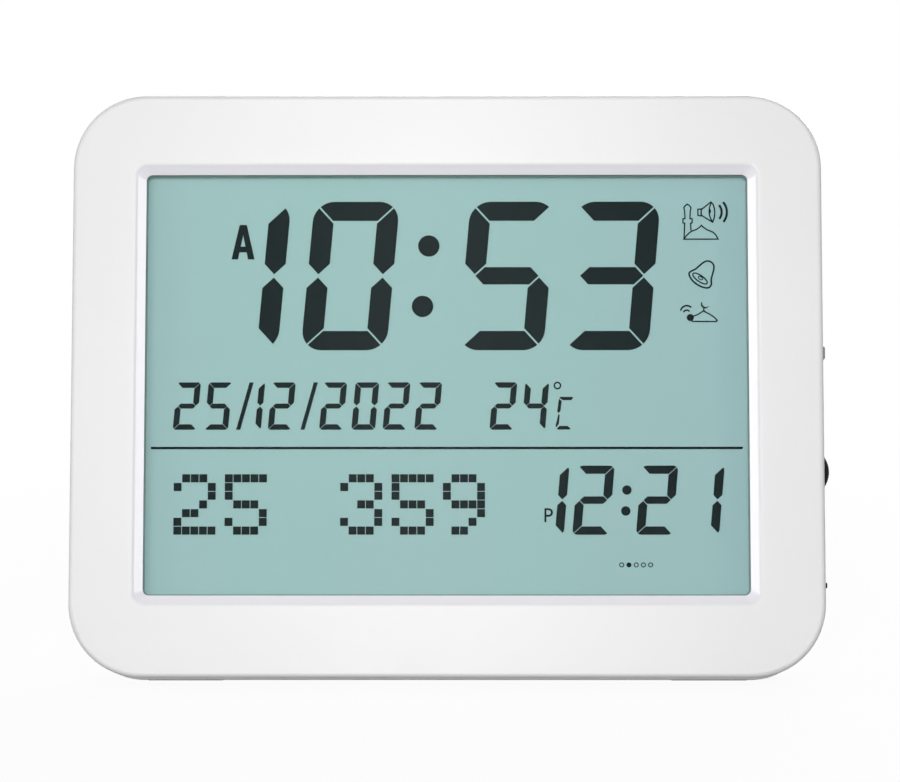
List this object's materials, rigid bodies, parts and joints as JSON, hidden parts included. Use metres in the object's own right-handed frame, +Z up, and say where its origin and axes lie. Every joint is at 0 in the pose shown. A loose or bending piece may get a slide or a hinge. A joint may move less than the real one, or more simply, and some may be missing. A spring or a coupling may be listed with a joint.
{
  "type": "azan clock",
  "caption": "Wall and table prayer clock: flat rounded white case, chamfered window, large LCD, edge volume wheel, folding prop and hanging hole.",
  "frame": {"origin": "centre of the bounding box on the table plane, with the clock standing on its case feet and open prop", "axes": "+X to the right seen from the front, +Y from the display to the prop, +Z up"},
  "size_m": [0.243, 0.0784, 0.1855],
  "materials": {
    "white_case": "fine satin moulded ABS",
    "clear_lens": "clear acrylic",
    "lcd_glass": "polished glass with polariser",
    "lcd_reflector": "teal reflective polariser behind glass",
    "lcd_ink": "dark liquid crystal segments",
    "gasket": "dark foam",
    "white_inner": "plain moulded",
    "zebra": "layered silicone",
    "board": "solder mask",
    "chip_resin": "cured resin",
    "nickel": "nickel plated",
    "capacitor_sleeve": "shrink sleeve",
    "switch_black": "moulded",
    "switch_steel": "pressed sheet",
    "control_black": "moulded",
    "key_grey": "moulded",
    "basket_steel": "zinc plated",
    "magnet": "ferrite",
    "cone_paper": "pressed pulp",
    "foam": "foam ring",
    "cell_jacket": "plain printed jacket",
    "pin_steel": "ground",
    "foot_rubber": "soft grey rubber",
    "screw_steel": "zinc plated"
  },
  "bodies": {
    "case": {"aa_cell_1": "cell_jacket", "aa_cell_2": "cell_jacket", "aa_cell_3": "cell_jacket", "battery_springs": "nickel", "board_screws": "screw_steel", "capacitors": "capacitor_sleeve", "case_feet": "foot_rubber", "case_screws": "screw_steel", "contact_plates": "nickel", "controller": "chip_resin", "crystal": "nickel", "front_frame": "white_case", "holder_screws": "screw_steel", "key_switches": "switch_black", "lcd_front_glass": "lcd_glass", "lcd_gasket": "gasket", "lcd_holder": "white_inner", "lcd_rear_glass": "lcd_reflector", "lcd_segments": "lcd_ink", "main_board": "board", "rear_cover": "white_case", "side_board": "board", "slide_switch": "switch_steel", "speaker_basket": "basket_steel", "speaker_cone": "cone_paper", "speaker_gasket": "foam", "speaker_magnet": "magnet", "stand_pin": "pin_steel", "stop_switch": "switch_black", "thermistor": "chip_resin", "volume_pot": "switch_black", "window_lens": "clear_lens", "zebra_strip": "zebra"},
    "prop": {"stand": "white_case", "stand_foot": "foot_rubber"},
    "battery_door": {"battery_door": "white_case"},
    "volume_wheel": {"volume_wheel": "control_black"},
    "stop_key": {"stop_key": "key_grey"},
    "slide_knob": {"slide_knob": "control_black"},
    "setting_key_1": {"setting_key_1": "key_grey"},
    "setting_key_2": {"setting_key_2": "key_grey"},
    "setting_key_3": {"setting_key_3": "key_grey"},
    "setting_key_4": {"setting_key_4": "key_grey"},
    "setting_key_5": {"setting_key_5": "key_grey"},
    "setting_key_6": {"setting_key_6": "key_grey"},
    "setting_key_7": {"setting_key_7": "key_grey"},
    "setting_key_8": {"setting_key_8": "key_grey"}
  },
  "joints": [
    {"name": "stand_fold", "type": "hinge", "parent": "case", "child": "prop", "pos_m": [-0.00146, 0.01622, 0.10254], "axis": [-1, 0, 0], "range_deg": [0, 27]},
    {"name": "battery_door_slide", "type": "slide", "parent": "case", "child": "battery_door", "axis": [-1, 0, 0], "range_m": [0, 0.07]},
    {"name": "volume_turn", "type": "hinge", "parent": "case", "child": "volume_wheel", "pos_m": [0.11286, -0.00433, 0.06529], "axis": [0, 0.9659, -0.2588], "range_deg": [-140, 140]},
    {"name": "stop_key_press", "type": "slide", "parent": "case", "child": "stop_key", "axis": [-1, 0, 0], "range_m": [0, 0.0007], "stiffness_N_per_m": 800, "springref_m": -0.0005},
    {"name": "slide_knob_slide", "type": "slide", "parent": "case", "child": "slide_knob", "axis": [0, 0.2588, 0.9659], "range_m": [0, 0.002]},
    {"name": "setting_key_1_press", "type": "slide", "parent": "case", "child": "setting_key_1", "axis": [0, -0.9659, 0.2588], "range_m": [0, 0.0007], "stiffness_N_per_m": 800, "springref_m": -0.0005},
    {"name": "setting_key_2_press", "type": "slide", "parent": "case", "child": "setting_key_2", "axis": [0, -0.9659, 0.2588], "range_m": [0, 0.0007], "stiffness_N_per_m": 800, "springref_m": -0.0005},
    {"name": "setting_key_3_press", "type": "slide", "parent": "case", "child": "setting_key_3", "axis": [0, -0.9659, 0.2588], "range_m": [0, 0.0007], "stiffness_N_per_m": 800, "springref_m": -0.0005},
    {"name": "setting_key_4_press", "type": "slide", "parent": "case", "child": "setting_key_4", "axis": [0, -0.9659, 0.2588], "range_m": [0, 0.0007], "stiffness_N_per_m": 800, "springref_m": -0.0005},
    {"name": "setting_key_5_press", "type": "slide", "parent": "case", "child": "setting_key_5", "axis": [0, -0.9659, 0.2588], "range_m": [0, 0.0007], "stiffness_N_per_m": 800, "springref_m": -0.0005},
    {"name": "setting_key_6_press", "type": "slide", "parent": "case", "child": "setting_key_6", "axis": [0, -0.9659, 0.2588], "range_m": [0, 0.0007], "stiffness_N_per_m": 800, "springref_m": -0.0005},
    {"name": "setting_key_7_press", "type": "slide", "parent": "case", "child": "setting_key_7", "axis": [0, -0.9659, 0.2588], "range_m": [0, 0.0007], "stiffness_N_per_m": 800, "springref_m": -0.0005},
    {"name": "setting_key_8_press", "type": "slide", "parent": "case", "child": "setting_key_8", "axis": [0, -0.9659, 0.2588], "range_m": [0, 0.0007], "stiffness_N_per_m": 800, "springref_m": -0.0005}
  ]
}
